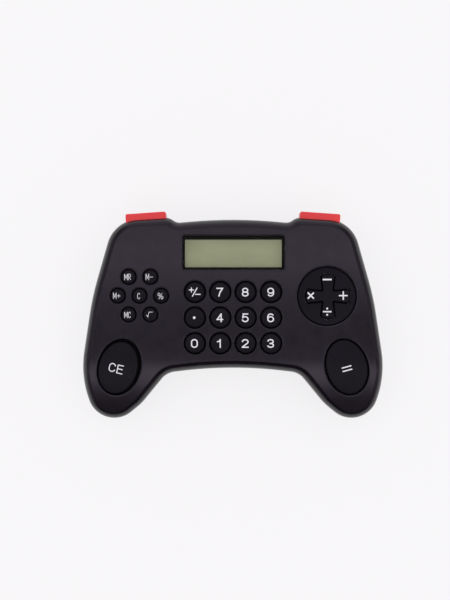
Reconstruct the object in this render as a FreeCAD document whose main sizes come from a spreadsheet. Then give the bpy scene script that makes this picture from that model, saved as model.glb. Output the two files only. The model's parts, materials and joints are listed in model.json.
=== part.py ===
# A pocket calculator in the shape of a two-handed game pad, as a FreeCAD document.
#
# Frame: +X to the right, +Y away from the person who holds it, +Z up out of the key face.
# The origin is on the table, under the middle of the calculator.  Lengths are in millimetres.

import FreeCAD, Part

import math
import os

import Sketcher
from FreeCAD import Placement, Rotation, Vector

# Driving dimensions.  Each becomes a cell of the spreadsheet, with its name as the cell's alias.
SIZES = {
    # casing: heights and walls
    "base_z": 0.8,
    "parting_z": 11.0,
    "face_z": 22.0,
    "wall": 2.0,
    "edge_round": 5.8,
    "face_step": 0.6,
    "base_round": 4.6,
    "shadow_gap": 0.3,
    "lip_height": 1.5,
    "lip_inset": 1.1,
    "lip_clearance": 0.1,
    # the face falls away towards the tips of the grips, as a cylinder that starts at slope_y
    "slope_y": -19.0,
    "slope_round": 160.0,
    # roundings of the outline's corners
    "top_round": 214.0,
    "step_foot_round": 4.6,
    "step_head_round": 6.2,
    "shoulder_round": 14.5,
    "side_round": 118.0,
    "hip_round": 44.7,
    "tip_round": 11.65,
    "grip_round": 20.3,
    "crotch_round": 8.45,
    "bay_round": 186.0,
    # keys: holes, crowns and the distance they travel
    "key_travel": 0.9,
    "key_top": 22.4,
    "flange_z": 19.0,
    "flange_top": 19.9,
    "dome_top": 18.6,
    "number_hole": 4.9,
    "number_crown": 4.15,
    "number_flange": 5.3,
    "number_pitch_x": 11.0,
    "number_pitch_y": 11.1,
    "number_y": 10.2,
    "memory_hole": 3.5,
    "memory_crown": 2.95,
    "memory_flange": 3.9,
    "memory_pitch_x": 9.36,
    "memory_pitch_y": 8.17,
    "cluster_x": 40.5,
    "cluster_y": 8.6,
    "oval_x": 49.3,
    "oval_y": -22.3,
    "oval_long": 12.6,
    "oval_short": 9.5,
    "oval_gap": 0.7,
    "oval_tilt": 15.5,
    "oval_round": 0.7,
    "sunk_gap": 0.9,
    "sunk_slip_long": -0.59,
    "sunk_slip_wide": 0.46,
    "oval_flange_z": 18.65,
    "oval_flange_top": 19.15,
    # direction pad
    "pad_x": 40.7,
    "pad_y": 8.35,
    "pad_hole": 12.95,
    "pad_plate": 12.5,
    "pad_sink": 0.3,
    "pad_flange": 14.2,
    "cross_x": 41.1,
    "cross_gap": 0.5,
    "cross_top": 22.5,
    "ball_z": 18.0,
    "ball_round": 1.2,
    # display
    "lcd_x": 0.2,
    "lcd_y": 27.0,
    "lcd_long": 42.1,
    "lcd_wide": 12.0,
    "opening_x": 0.25,
    "opening_y": 27.35,
    "opening_long": 44.4,
    "opening_wide": 14.9,
    "opening_round": 1.0,
    "rim_round": 0.35,
    # board and keypad mat
    "board_z": 15.6,
    "board_top": 16.8,
    "mat_top": 17.4,
    # shoulder buttons, in a frame of their own that is turned with the shoulder
    "shoulder_x": 37.95,
    "shoulder_y": 42.34,
    "shoulder_turn": 3.95,
    "shoulder_long": 17.6,
    "shoulder_reach": 2.4,
    "shoulder_z": 9.6,
    "shoulder_top": 19.2,
    # battery, its tub and its door
    "cell_y": 8.6,
    "cell_z": 8.4,
    "cell_round": 5.1,
    "tub_top": 14.0,
    "tub_wall": 1.2,
    "door_long": 55.4,
    "door_wide": 15.4,
    "door_thick": 1.4,
    # screws and feet
    "case_post": 3.2,
    "case_boss": 2.6,
    "case_seat": 6.0,
    "case_meet": 8.0,
    "case_pilot": 0.85,
    "board_boss": 2.2,
    "foot_round": 3.5,
    "foot_sink": 0.3,
}

doc = FreeCAD.newDocument("pocket_calculator")
sheet = doc.addObject("Spreadsheet::Sheet", "Sizes")
for row, (alias, number) in enumerate(SIZES.items(), 1):
    sheet.set(f"A{row}", alias)
    sheet.set(f"B{row}", str(number))
    sheet.setAlias(f"B{row}", alias)
doc.recompute()


def size(alias):
    return float(sheet.get(alias))


def bind(thing, **expressions):
    """Binds properties to expressions, in which $name stands for the sheet's cell of that name."""
    for prop, expression in expressions.items():
        thing.setExpression(prop.replace("__", "."), expression.replace("$", "Sizes."))


def worth(expression):
    """The number that an expression with $names has now."""
    for alias in sorted(SIZES, key=len, reverse=True):
        expression = expression.replace("$" + alias, repr(size(alias)))
    return float(sum_of(expression))


def sum_of(expression):
    total, sign = 0.0, 1.0
    for word in expression.replace("-", " - ").replace("+", " + ").split():
        if word in "+-":
            sign = 1.0 if word == "+" else -1.0
        else:
            total += sign * float(word)
            sign = 1.0
    return total


def new_body(name):
    body = doc.addObject("PartDesign::Body", name)
    body.Label = name
    return body


def sketch_on(body, role, name, height="0"):
    plane = next(o for o in body.Origin.OriginFeatures if o.Role == role)
    sketch = body.newObject("Sketcher::SketchObject", name)
    sketch.AttachmentSupport = [(plane, "")]
    sketch.MapMode = "FlatFace"
    bind(sketch, AttachmentOffset__Base__z=height)
    return sketch


def rounded_loop(sketch, corners):
    """Draws a closed loop of lines and tangent arcs, anticlockwise.

    corners: (x, y, expression of the rounding).
    """
    count = len(corners)
    points = [Vector(x, y, 0) for x, y, _ in corners]
    ends = []
    for i, (_, _, rounding) in enumerate(corners):
        before, here, after = points[i - 1], points[i], points[(i + 1) % count]
        back, ahead = (before - here).normalize(), (after - here).normalize()
        half_turn = (math.pi - back.getAngle(ahead)) / 2
        radius = worth(rounding)
        tangent = radius * math.tan(half_turn)
        centre = here + (back + ahead).normalize() * (radius / math.cos(half_turn))
        start, end = here + back * tangent, here + ahead * tangent
        left = (here - before).cross(after - here).z > 0
        first, last = (start, end) if left else (end, start)
        angles = [math.atan2(p.y - centre.y, p.x - centre.x) for p in (first, last)]
        if angles[1] < angles[0]:
            angles[1] += 2 * math.pi
        arc = sketch.addGeometry(Part.ArcOfCircle(Part.Circle(centre, Vector(0, 0, 1), radius), *angles))
        ends.append((arc, start, end, 1 if left else 2, rounding))
    for i, (arc, _, end, start_pos, _) in enumerate(ends):
        after = ends[(i + 1) % count]
        straight = (after[1] - end).dot(after[1] - end) ** 0.5
        if straight < 0.05 or (after[1] - end).dot(points[(i + 1) % count] - points[i]) < 0:
            raise ValueError(f"{sketch.Name}: no straight run after corner {i}: {straight:.3f}")
        line = sketch.addGeometry(Part.LineSegment(end, after[1]))
        sketch.addConstraint(Sketcher.Constraint("Tangent", arc, 3 - start_pos, line, 1))
        sketch.addConstraint(Sketcher.Constraint("Tangent", line, 2, after[0], after[3]))
    for i, (arc, _, _, _, rounding) in enumerate(ends):
        index = sketch.addConstraint(Sketcher.Constraint("Radius", arc, worth(rounding)))
        sketch.renameConstraint(index, f"rounding_{i}")
        sketch.setExpression(f"Constraints.rounding_{i}", rounding.replace("$", "Sizes."))


# The outline's corners on the right, from the middle of the bay between the grips to the middle of
# the top edge: x, y, the rounding's name, and -1 where the outline is hollow.
HALF_OUTLINE = [
    (0.0, -21.54, "bay_round", -1),
    (28.9, -25.05, "crotch_round", -1),
    (39.85, -38.4, "grip_round", 1),
    (57.35, -52.95, "tip_round", 1),
    (66.6, -26.4, "hip_round", 1),
    (61.45, 8.15, "side_round", 1),
    (51.95, 41.5, "shoulder_round", 1),
    (27.9, 42.95, "step_head_round", 1),
    (24.55, 40.5, "step_foot_round", -1),
    (0.0, 42.75, "top_round", 1),
]


def outline(inset="0"):
    """The casing's outline, moved inwards by inset, as corners for rounded_loop."""
    right = HALF_OUTLINE
    left = [(-x, y, name, sign) for x, y, name, sign in reversed(HALF_OUTLINE[1:-1])]
    loop = right + left
    points = [Vector(x, y, 0) for x, y, _, _ in loop]
    distance = worth(inset)
    moved = []
    for i, (_, _, name, sign) in enumerate(loop):
        before, here, after = points[i - 1], points[i], points[(i + 1) % len(loop)]
        into, out = (here - before).normalize(), (after - here).normalize()
        inwards = Vector(-into.y - out.y, into.x + out.x, 0).normalize()
        half_turn = into.getAngle(out) / 2
        corner = here + inwards * (distance / math.cos(half_turn))
        moved.append((corner.x, corner.y, f"${name} {'-' if sign > 0 else '+'} {inset}"))
    return moved


def edges_where(feature, chosen):
    return [f"Edge{i}" for i, e in enumerate(feature.Shape.Edges, 1) if chosen(e)]


def above_face(body, name, drop):
    """A sketch of the space above the key face, lowered by drop, seen along X."""
    sketch = sketch_on(body, "YZ_Plane", name)
    top, start, radius = size("face_z") - worth(drop), size("slope_y"), size("slope_round") - worth(drop)
    reach = 60.0
    angle = math.asin((reach + start) / radius)
    low = Vector(start - radius * math.sin(angle), top - radius * (1 - math.cos(angle)), 0)
    high = top + 30.0
    centre = Vector(start, top - radius, 0)
    arc = Part.ArcOfCircle(Part.Circle(centre, Vector(0, 0, 1), radius), math.pi / 2, math.pi / 2 + angle)
    corners = [Vector(start, top, 0), Vector(reach, top, 0), Vector(reach, high, 0)]
    corners += [Vector(low.x, high, 0), low]
    arc_at = sketch.addGeometry(arc)
    lines = [sketch.addGeometry(Part.LineSegment(a, b)) for a, b in zip(corners, corners[1:])]
    sketch.addConstraint(Sketcher.Constraint("Tangent", arc_at, 1, lines[0], 1))
    for a, b in zip(lines, lines[1:]):
        sketch.addConstraint(Sketcher.Constraint("Coincident", a, 2, b, 1))
    sketch.addConstraint(Sketcher.Constraint("Coincident", lines[-1], 2, arc_at, 2))
    return sketch


def pad(body, sketch, name, length):
    feature = body.newObject("PartDesign::Pad", name)
    feature.Profile = sketch
    bind(feature, Length=length)
    return feature


def cut_through(body, sketch, name):
    feature = body.newObject("PartDesign::Pocket", name)
    feature.Profile = sketch
    feature.Type = "ThroughAll"
    feature.Midplane = True
    return feature


def round_over(body, base, name, radius, chosen):
    doc.recompute()
    feature = body.newObject("PartDesign::Fillet", name)
    feature.Base = (base, edges_where(base, chosen))
    bind(feature, Radius=radius)
    return feature


def face_block(name, inset, drop, bottom):
    """A solid of the casing's outline up to the key face, inset on the sides and drop below the face."""
    body = new_body(name)
    side = sketch_on(body, "XY_Plane", name + "_outline", bottom)
    rounded_loop(side, outline(inset))
    block = pad(body, side, name + "_pad", f"$face_z + $face_step - {drop} - ({bottom})")
    slope = cut_through(body, above_face(body, name + "_slope", f"{drop} - $face_step"), name + "_slope_cut")
    seam = size("slope_y")

    def rim(edge):
        box = edge.BoundBox
        return box.ZMin > size("parting_z") + 3 and abs(edge.CenterOfMass.y - seam) > 0.01

    rounded = round_over(body, slope, name + "_round", f"$edge_round - {inset}", rim)
    cut_through(body, above_face(body, name + "_face", drop), name + "_face_cut")
    return body


def solid(kind, name, **expressions):
    """A Part primitive whose sizes and position are bound to expressions."""
    thing = doc.addObject("Part::" + kind, name)
    bind(thing, **expressions)
    return thing


def block(name, x, y, z, x2, y2, z2):
    """A box between two corners given as expressions."""
    span = {"Length": f"({x2}) - ({x})", "Width": f"({y2}) - ({y})", "Height": f"({z2}) - ({z})"}
    return solid("Box", name, Placement__Base__x=x, Placement__Base__y=y, Placement__Base__z=z, **span)


def post(name, radius, x, y, z, z2):
    """An upright cylinder."""
    where = {"Placement__Base__x": x, "Placement__Base__y": y, "Placement__Base__z": z}
    return solid("Cylinder", name, Radius=radius, Height=f"({z2}) - ({z})", **where)


def fused(name, parts):
    if len(parts) == 1:
        return parts[0]
    thing = doc.addObject("Part::MultiFuse", name)
    thing.Shapes = parts
    return thing


def cut(name, base, tools):
    thing = doc.addObject("Part::Cut", name)
    thing.Base = base
    thing.Tool = fused(name + "_tools", tools)
    return thing


def group(name, parts):
    """Several loose solids of one kind, which share one node."""
    thing = doc.addObject("Part::Compound", name)
    thing.Links = parts
    return thing


def draw(sketch, path):
    """Draws a closed loop: (x, y) is a line to there, (x, y, via_x, via_y) an arc to there by a middle point."""
    start = Vector(path[-1][0], path[-1][1], 0)
    joints = []
    for stop in path:
        end = Vector(stop[0], stop[1], 0)
        begin, finish = 1, 2
        if len(stop) == 2:
            curve = Part.LineSegment(start, end)
        else:
            via = Vector(stop[2], stop[3], 0)
            curve = Part.Arc(start, via, end)
            if (via - start).cross(end - via).z < 0:
                begin, finish = 2, 1
        joints.append((sketch.addGeometry(curve), begin, finish))
        start = end
    for before, after in zip(joints, joints[1:] + joints[:1]):
        sketch.addConstraint(Sketcher.Constraint("Coincident", before[0], before[2], after[0], after[1]))


def hollow_of(edge, depth, radius):
    """Height above the lowest point, at radius, of a dish that is depth deep and edge in radius."""
    ball = (edge ** 2 + depth ** 2) / (2 * depth)
    return ball - math.sqrt(ball ** 2 - radius ** 2)


def turned(name, profile):
    """A body turned about Z from a half profile of radius and height."""
    body = new_body(name)
    sketch = sketch_on(body, "XZ_Plane", name + "_profile")
    draw(sketch, profile)
    feature = body.newObject("PartDesign::Revolution", name + "_turn")
    feature.Profile = sketch
    feature.ReferenceAxis = (sketch, ["V_Axis"])
    feature.Angle = 360.0
    return body


def placed(thing, x, y, z="0"):
    bind(thing, Placement__Base__x=x, Placement__Base__y=y, Placement__Base__z=z)
    return thing


def face_fall(y):
    """How far the key face has dropped at y."""
    run = max(0.0, size("slope_y") - y)
    return size("slope_round") - math.sqrt(size("slope_round") ** 2 - run ** 2)


SIDES = (("left", -1), ("right", 1))
CASE_POSTS = [(46.0, 31.0), (29.0, -15.0), (53.5, -38.5)]
BOARD_POSTS = [(30.0, 27.0), (24.5, -2.0), (40.0, -8.4)]
FEET = [(48.0, 21.0), (51.0, -27.0)]
DOOR_TONGUES = (4.6, 12.6)


def both_sides(places):
    return [(side * x, y) for x, y in places for side in (-1, 1)]


# ------------------------------------------------------------------ keys: where they stand

number_names = ["sign", "seven", "eight", "nine", "point", "four", "five", "six", "zero", "one", "two", "three"]
NUMBER_KEYS = {}
for i, name in enumerate(number_names):
    column, line = i % 4 - 1.5, i // 4
    NUMBER_KEYS["key_" + name] = (f"{column} * $number_pitch_x", f"$number_y - {line} * $number_pitch_y")

MEMORY_KEYS = {
    "key_memory_recall": (-0.5, 1),
    "key_memory_minus": (0.5, 1),
    "key_memory_plus": (-1, 0),
    "key_clear": (0, 0),
    "key_percent": (1, 0),
    "key_memory_clear": (-0.5, -1),
    "key_square_root": (0.5, -1),
}
MEMORY_KEYS = {
    name: (f"{i} * $memory_pitch_x - $cluster_x", f"{j} * $memory_pitch_y + $cluster_y")
    for name, (i, j) in MEMORY_KEYS.items()
}


def stack(name, layers):
    """A body of pads, one on the other.  layers: (outline, z, z2); an outline is a path for draw, or an ellipse
    as its two half axes and the place of its middle."""
    body = new_body(name)
    for i, (path, z, z2) in enumerate(layers, 1):
        sketch = sketch_on(body, "XY_Plane", f"{name}_layer_{i}", z)
        if isinstance(path[0], float):
            long, short, x, y = path
            sketch.addGeometry(Part.Ellipse(Vector(x, y, 0), long, short))
        else:
            draw(sketch, path)
        pad(body, sketch, f"{name}_pad_{i}", f"({z2}) - ({z})")
    return body


def rectangle(x, y, x2, y2):
    return [(x2, y), (x2, y2), (x, y2), (x, y)]


def rounded_body(name, corners, z, z2):
    """A body that is one pad of a loop with rounded corners."""
    body = new_body(name)
    sketch = sketch_on(body, "XY_Plane", name + "_outline", z)
    rounded_loop(sketch, corners)
    pad(body, sketch, name + "_pad", f"({z2}) - ({z})")
    return body


def centred(long, wide):
    return rectangle(-long / 2, -wide / 2, long / 2, wide / 2)


def turn_to(thing, x, y, angle):
    """Places a thing with a turn about Z."""
    placed(thing, x, y)
    bind(thing, Placement__Rotation__Angle=angle)
    return thing


def on_shoulder(thing, side):
    """Places a thing that was made in the shoulder's own frame, in which +y points out of the wall."""
    return turn_to(thing, f"{side} * $shoulder_x", "$shoulder_y", f"{-side} * $shoulder_turn")


def on_oval(thing, side):
    """Places a thing made for one of the two oval keys, whose long axis leans."""
    return turn_to(thing, f"{side} * $oval_x", "$oval_y", f"90 + {side} * $oval_tilt")


# ------------------------------------------------------------------ the two shells

WINDOW = rectangle(-size("shoulder_long") / 2 - 0.25, -6.0, size("shoulder_long") / 2 + 0.25, 4.0)
OVAL_HOLE = (size("oval_long"), size("oval_short"), 0.0, 0.0)


# One arm of the direction pad's cross, from its root, with a bowed tip: x, y, rounding.
CROSS_ARM = [(2.2, -2.2, 0.45), (9.0, -3.0, 0.7), (10.1, 0.0, 6.0), (9.0, 3.0, 0.7)]


def cross_corners(grow):
    """The direction pad's cross, grown outwards: four arms that widen towards their tips."""
    corners = []
    for quarter in range(4):
        turn = Rotation(Vector(0, 0, 1), 90 * quarter)
        for x, y, rounding in CROSS_ARM:
            spread = math.copysign(grow, y) if y else 0.0
            point = turn.multVec(Vector(x + grow, y + spread, 0))
            corners.append((point.x, point.y, str(rounding)))
    return corners


def key_holes():
    """Cutters for every opening in the key face."""
    tools = []
    for name, (x, y) in NUMBER_KEYS.items():
        tools.append(post("hole_" + name, "$number_hole", x, y, "$face_z - 4", "$face_z + 2"))
    for name, (x, y) in MEMORY_KEYS.items():
        tools.append(post("hole_" + name, "$memory_hole", x, y, "$face_z - 4", "$face_z + 2"))
    tools.append(post("hole_pad", "$pad_hole", "$pad_x", "$pad_y", "$face_z - 4", "$face_z + 2"))
    for word, side in SIDES:
        tools.append(on_oval(stack("hole_oval_" + word, [(OVAL_HOLE, "$face_z - 4", "$face_z + 2")]), side))
    tools.append(display_opening())
    return tools


def display_opening():
    """The cutter of the display's opening, a little larger than the display on every side."""
    corners = centred(size("opening_long"), size("opening_wide"))
    loop = [(x, y, "$opening_round") for x, y in corners]
    return placed(rounded_body("hole_display", loop, "$face_z - 4", "$face_z + 2"), "$opening_x", "$opening_y")


def upper_shell():
    outer = face_block("upper_block", "0", "0", "$parting_z + $shadow_gap / 2")
    inner = face_block("upper_core", "$wall", "$wall", "$parting_z - 2")
    hollow = cut("upper_hollow", outer, [inner])
    bosses = []
    for i, (x, y) in enumerate(both_sides(CASE_POSTS), 1):
        top = f"$face_z - 1 - {face_fall(y)}"
        bosses.append(post(f"case_boss_{i}", "$case_boss", str(x), str(y), "$case_meet", top))
    for i, (x, y) in enumerate(both_sides(BOARD_POSTS), 1):
        bosses.append(post(f"board_boss_{i}", "$board_boss", str(x), str(y), "$board_top", "$face_z - 1"))
    solid_parts = fused("upper_solid", [hollow] + bosses)
    tools = key_holes()
    for i, (x, y) in enumerate(both_sides(CASE_POSTS), 1):
        tools.append(post(f"case_pilot_{i}", "$case_pilot", str(x), str(y), "$case_meet - 1", "$case_meet + 9"))
    for i, (x, y) in enumerate(both_sides(BOARD_POSTS), 1):
        tools.append(post(f"board_pilot_{i}", "0.65", str(x), str(y), "$board_top - 1", "$board_top + 3.6"))
    for word, side in SIDES:
        window = stack("upper_window_" + word, [(WINDOW, "$parting_z - 4", "$shoulder_top + 0.2")])
        tools.append(on_shoulder(window, side))
    rebate_loop = outline("$lip_inset - $lip_clearance")
    rebate = rounded_body("rebate_outer", rebate_loop, "$parting_z", "$parting_z + 1.65")
    rebate_core = rounded_body("rebate_inner", outline("$wall + 0.02"), "$parting_z - 1", "$parting_z + 3")
    tools.append(cut("upper_rebate", rebate, [rebate_core]))
    opened = cut("upper_open", solid_parts, tools)
    doc.recompute()
    rims = []
    for i, edge in enumerate(opened.Shape.Edges, 1):
        box = edge.BoundBox
        flat = box.ZLength < 0.01 and abs(box.ZMax - size("face_z")) < 0.01
        inner = box.YMax < size("opening_y") + size("opening_wide") / 2 + 0.1 and box.XMax - box.XMin < 50
        if flat and inner and abs(box.YMax - size("slope_y")) > 0.01:
            rims.append((i, size("rim_round"), size("rim_round")))
    shell = doc.addObject("Part::Fillet", "upper_shell")
    shell.Base = opened
    shell.Edges = rims
    return shell


def lower_shell():
    outer = new_body("lower_block")
    side = sketch_on(outer, "XY_Plane", "lower_outline", "$base_z")
    rounded_loop(side, outline())
    base = pad(outer, side, "lower_pad", "$parting_z - $shadow_gap / 2 - $base_z")

    def rim(edge):
        return edge.BoundBox.ZMax < size("base_z") + 0.01

    round_over(outer, base, "lower_round", "$base_round", rim)
    cavity = new_body("lower_cavity")
    hollow = sketch_on(cavity, "XY_Plane", "lower_cavity_outline", "$base_z + $wall")
    rounded_loop(hollow, outline("$wall"))
    inside = pad(cavity, hollow, "lower_cavity_pad", "$parting_z")

    def floor_rim(edge):
        return edge.BoundBox.ZMax < size("base_z") + size("wall") + 0.01

    round_over(cavity, inside, "lower_cavity_round", "$base_round - $wall", floor_rim)
    tray = cut("lower_tray", outer, [cavity])
    lip_outer = rounded_body("lip_outer", outline("$lip_inset"), "$parting_z - 1", "$parting_z + $lip_height")
    lip_inner = rounded_body("lip_inner", outline("$wall"), "$parting_z - 2", "$parting_z + 4")
    lip = cut("lip", lip_outer, [lip_inner])
    tub = block("tub_block", "-26 - $tub_wall", "$cell_y - 6 - $tub_wall", "$base_z + 0.5",
                "24.5 + $tub_wall", "$cell_y + 6 + $tub_wall", "$tub_top + $tub_wall")
    parts = [tray, lip, tub]
    for i, (x, y) in enumerate(both_sides(CASE_POSTS), 1):
        parts.append(post(f"case_post_{i}", "$case_post", str(x), str(y), "$base_z + 0.5", "$case_meet"))
    ribs = [
        block("rib_1", "-44", "-2.6", "$base_z + 1", "-27", "-1.4", "6"),
        block("rib_2", "27", "-2.6", "$base_z + 1", "44", "-1.4", "6"),
        block("rib_3", "-1", "18", "$base_z + 1", "0.2", "38", "6"),
        block("rib_4", "-40", "24", "$base_z + 1", "-10", "25.2", "5"),
        block("rib_5", "10", "24", "$base_z + 1", "40", "25.2", "5"),
    ]
    whole = fused("lower_solid", parts + ribs)
    tools = [
        block("tub_room", "-26", "$cell_y - 6", "-1", "24.5", "$cell_y + 6", "$tub_top"),
        block("door_room", "-$door_long / 2 - 0.1", "$cell_y - $door_wide / 2 - 0.1", "-1",
              "$door_long / 2 + 0.1", "$cell_y + $door_wide / 2 + 0.1", "$base_z + $door_thick"),
        block("contact_slot", "24.1", "$cell_y - 2.6", "$tub_top - 1",
              "24.55", "$cell_y + 2.6", "$tub_top + 3"),
        block("spring_slot", "-26.05", "$cell_y - 2.6", "$tub_top - 1",
              "-25.6", "$cell_y + 2.6", "$tub_top + 3"),
        block("finger_notch", "$door_long / 2 - 0.5", "$cell_y - 4", "-1", "$door_long / 2 + 1.6",
              "$cell_y + 4", "$base_z + 0.9"),
    ]
    for i, y in enumerate(DOOR_TONGUES, 1):
        tools.append(block(f"tongue_slot_{i}", "-$door_long / 2 - 1.8", f"{y} - 1.7", "$base_z + 0.7",
                           "-25.9", f"{y} + 1.7", "$base_z + 4"))
    for i, (x, y) in enumerate(both_sides(CASE_POSTS), 1):
        tools.append(post(f"head_room_{i}", "2.2", str(x), str(y), "-1", "$case_seat"))
        tools.append(post(f"shank_room_{i}", "1.15", str(x), str(y), "-1", "$case_meet + 1"))
    for i, (x, y) in enumerate(both_sides(FEET), 1):
        tools.append(post(f"foot_room_{i}", "$foot_round", str(x), str(y), "-1", "$base_z + $foot_sink"))
    for word, side in SIDES:
        window = stack("lower_window_" + word, [(WINDOW, "$shoulder_z - 0.2", "$parting_z + 4")])
        tools.append(on_shoulder(window, side))
    return cut("lower_shell", whole, tools)


# ------------------------------------------------------------------ keys

def round_key(name, x, y, hole, crown, flange):
    """A round key: a nub that rests on its dome, a flange under the key face, and a dished crown."""
    bottom, low, high, top = (size(n) for n in ("dome_top", "flange_z", "flange_top", "key_top"))
    dish, edge = 0.18, crown - 0.5
    middle = top - dish + hollow_of(edge, dish, edge / 2)
    body = turned(name, [
        (0.0, bottom),
        (1.5, bottom),
        (1.5, low),
        (flange, low),
        (flange, high),
        (crown, high),
        (crown, top - 0.5),
        (crown - 0.5, top, crown - 0.1464, top - 0.1464),
        (0.0, top - dish, edge / 2, middle),
    ])
    return placed(body, x, y)


keys = []
for name, (x, y) in NUMBER_KEYS.items():
    keys.append(round_key(name, x, y, size("number_hole"), size("number_crown"), size("number_flange")))
for name, (x, y) in MEMORY_KEYS.items():
    keys.append(round_key(name, x, y, size("memory_hole"), size("memory_crown"), size("memory_flange")))


def oval_key(name, side, drop, gap, slip):
    """An oval key whose crown follows the falling key face, drop below it, and slips off its hole's middle."""
    crown = (size("oval_long") - gap, size("oval_short") - gap) + slip
    flange = (size("oval_long") + 0.4, size("oval_short") + 0.6, 0.0, 0.0)
    body = stack(name + "_rough", [
        (flange, "$oval_flange_z", "$oval_flange_top"),
        (crown, "$oval_flange_top", "$face_z + 2"),
        ((1.8, 1.7999, 0.0, 0.0), "$dome_top", "$oval_flange_z"),
    ])
    on_oval(body, side)
    shaper = new_body(name + "_top")
    pad_sketch = above_face(shaper, name + "_top_line", drop)
    top = shaper.newObject("PartDesign::Pad", name + "_top_pad")
    top.Profile = pad_sketch
    top.Midplane = True
    bind(top, Length="160")
    shaped = cut(name + "_shaped", body, [shaper])
    doc.recompute()
    level = size("face_z") - worth(drop)
    rim = []
    for i, edge in enumerate(shaped.Shape.Edges, 1):
        box = edge.BoundBox
        if box.ZMin > level - 1.6 and box.XLength > 1 and box.YLength > 0.01:
            rim.append((i, size("oval_round"), size("oval_round")))
    key = doc.addObject("Part::Fillet", name)
    key.Base = shaped
    key.Edges = rim
    return key


sunk_slip = (size("sunk_slip_long"), size("sunk_slip_wide"))
keys.append(oval_key("key_clear_entry", -1, "1.0", size("sunk_gap"), sunk_slip))
keys.append(oval_key("key_equals", 1, "0 - 0.3", size("oval_gap"), (0.0, 0.0)))

# ------------------------------------------------------------------ direction pad

top = size("face_z") - size("pad_sink")
plate_base = turned("pad_plate_turned", [
    (0.0, top - 1.4),
    (11.6, top - 1.4),
    (11.6, 19.2),
    (size("pad_flange"), 19.2),
    (size("pad_flange"), 20.0),
    (size("pad_plate"), 20.0),
    (size("pad_plate"), top - 0.35),
    (size("pad_plate") - 0.35, top, size("pad_plate") - 0.1, top - 0.1),
    (0.0, top + 0.25, 6.0, top + 0.25 - hollow_of(size("pad_plate") - 0.35, 0.25, 6.0)),
])
placed(plate_base, "$pad_x", "$pad_y")
plate_hole = rounded_body("pad_plate_hole", cross_corners(size("cross_gap")), "$face_z - 3", "$face_z + 3")
dpad_plate = cut("dpad_plate", plate_base, [placed(plate_hole, "$cross_x", "$pad_y")])

cross_rough = rounded_body("cross_arms", cross_corners(0.0), "$flange_z", "$cross_top")
round_over(cross_rough, cross_rough.Tip, "cross_round", "0.6",
           lambda edge: edge.BoundBox.ZMin > size("cross_top") - 0.01)
cross_seat = turned("cross_seat", [
    (0.0, size("ball_z")),
    (2.4, size("ball_z")),
    (2.4, 19.0),
    (9.0, 19.0),
    (9.0, 19.6),
    (0.0, 19.6),
])
nubs = [post(f"cross_nub_{i}", "1.5", f"7.5 * {x}", f"7.5 * {y}", "$dome_top", "$flange_z + 0.2")
        for i, (x, y) in enumerate(((1, 0), (0, 1), (-1, 0), (0, -1)), 1)]
socket = solid("Sphere", "cross_socket", Radius="$ball_round + 0.02", Placement__Base__z="$ball_z")
cross_whole = cut("cross_whole", fused("cross_solid", [cross_rough, cross_seat] + nubs), [socket])
dpad_cross = doc.addObject("Part::Compound", "dpad_cross")
dpad_cross.Links = [cross_whole]
placed(dpad_cross, "$cross_x", "$pad_y")
pivot = solid("Sphere", "dpad_pivot", Radius="$ball_round", Placement__Base__z="$ball_z",
              Placement__Base__x="$cross_x", Placement__Base__y="$pad_y")
cup = solid("Sphere", "pivot_cup", Radius="$ball_round + 0.02", Placement__Base__z="$ball_z",
            Placement__Base__x="$cross_x", Placement__Base__y="$pad_y")
dpad_post = cut("dpad_post", post("pivot_post", "1.4", "$cross_x", "$pad_y", "$board_top", "17.55"), [cup])

# ------------------------------------------------------------------ display

window = block("lcd_window", "$lcd_x - 23.5", "$lcd_y - 8.5", "19", "$lcd_x + 23.5", "$lcd_y + 8.5", "20")
glass = block("lcd_glass", "$lcd_x - 23", "$lcd_y - 8.5", "17.9", "$lcd_x + 23", "$lcd_y + 8.5", "18.9")
reflector = block("lcd_reflector", "$lcd_x - 22.6", "$lcd_y - 8.1", "17.7",
                  "$lcd_x + 22.6", "$lcd_y + 6.3", "17.9")
zebra = block("zebra_strip", "$lcd_x - 21", "$lcd_y + 6.5", "$board_top", "$lcd_x + 21", "$lcd_y + 8.1", "17.9")
frame_block = block("frame_block", "$lcd_x - 24.5", "$lcd_y - 9.6", "$board_top",
                    "$lcd_x + 24.5", "$lcd_y + 9.6", "19")
lcd_frame = cut("lcd_frame", frame_block, [
    block("frame_glass", "$lcd_x - 23.05", "$lcd_y - 8.55", "17.7", "$lcd_x + 23.05", "$lcd_y + 8.55", "20"),
    block("frame_middle", "$lcd_x - 21.5", "$lcd_y - 7", "16", "$lcd_x + 21.5", "$lcd_y + 4.8", "20"),
    block("frame_zebra", "$lcd_x - 21.05", "$lcd_y + 6.45", "16", "$lcd_x + 21.05", "$lcd_y + 8.15", "20"),
])

# ------------------------------------------------------------------ board and what stands on it

HALF_BOARD = [(0.0, -16.6, 60.0), (33.0, -17.6, 4.0), (41.0, -34.0, 3.0), (57.0, -34.0, 6.0),
              (58.6, -8.0, 30.0), (51.6, 34.6, 6.0), (30.0, 36.4, 20.0), (0.0, 37.6, 60.0)]


def mirrored(half):
    return [(x, y, str(r)) for x, y, r in half] + [(-x, y, str(r)) for x, y, r in reversed(half[1:-1])]


board_rough = rounded_body("board_rough", mirrored(HALF_BOARD), "$board_z", "$board_top")
board_holes = [post(f"board_case_hole_{i}", "2.9", str(x), str(y), "$board_z - 1", "$board_top + 1")
               for i, (x, y) in enumerate(both_sides(CASE_POSTS[:2]), 1)]
board_holes += [post(f"board_screw_hole_{i}", "0.95", str(x), str(y), "$board_z - 1", "$board_top + 1")
                for i, (x, y) in enumerate(both_sides(BOARD_POSTS), 1)]
main_board = cut("main_board", board_rough, board_holes)

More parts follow.
